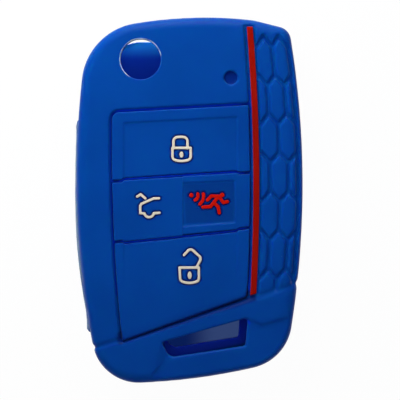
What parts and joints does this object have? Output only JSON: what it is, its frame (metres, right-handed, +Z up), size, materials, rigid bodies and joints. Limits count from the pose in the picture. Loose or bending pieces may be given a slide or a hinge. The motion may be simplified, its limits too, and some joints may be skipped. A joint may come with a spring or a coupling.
{
  "type": "key fob cover",
  "caption": "Soft blue cover for a folding car key: a hollow sleeve with inlaid icon buttons, a red stripe, a honeycomb grip, an open side for the blade and a slot for a key ring.",
  "frame": {"origin": "the middle of the cover's box, on the surface that it lies on", "axes": "+X across the cover towards the honeycomb grip, +Y along it to the hinge end, +Z up out of the button face"},
  "size_m": [0.0482, 0.0771, 0.0188],
  "materials": {
    "blue_silicone": "satin",
    "white_silicone": "satin",
    "red_silicone": "satin"
  },
  "bodies": {
    "sleeve": {"sleeve": "blue_silicone", "accent_stripe": "red_silicone"},
    "lock_button": {"lock_button_pad": "blue_silicone", "lock_icon_padlock": "white_silicone", "lock_icon_keyhole": "white_silicone"},
    "trunk_button": {"trunk_button_pad": "blue_silicone", "trunk_icon_lid": "white_silicone", "trunk_icon_car": "white_silicone"},
    "panic_button": {"panic_button_pad": "blue_silicone", "panic_icon_dot": "red_silicone", "panic_icon_inner_wave": "red_silicone", "panic_icon_outer_wave": "red_silicone", "panic_icon_runner": "red_silicone"},
    "unlock_button": {"unlock_button_pad": "blue_silicone", "unlock_icon_padlock": "white_silicone", "unlock_icon_keyhole": "white_silicone"}
  },
  "joints": [
    {"name": "lock_button_press", "type": "slide", "parent": "sleeve", "child": "lock_button", "axis": [0, 0, -1], "range_m": [0, 0.0008], "stiffness_N_per_m": 1500},
    {"name": "trunk_button_press", "type": "slide", "parent": "sleeve", "child": "trunk_button", "axis": [0, 0, -1], "range_m": [0, 0.0008], "stiffness_N_per_m": 1500},
    {"name": "panic_button_press", "type": "slide", "parent": "sleeve", "child": "panic_button", "axis": [0, 0, -1], "range_m": [0, 0.0008], "stiffness_N_per_m": 1500},
    {"name": "unlock_button_press", "type": "slide", "parent": "sleeve", "child": "unlock_button", "axis": [0, 0, -1], "range_m": [0, 0.0008], "stiffness_N_per_m": 1500}
  ]
}
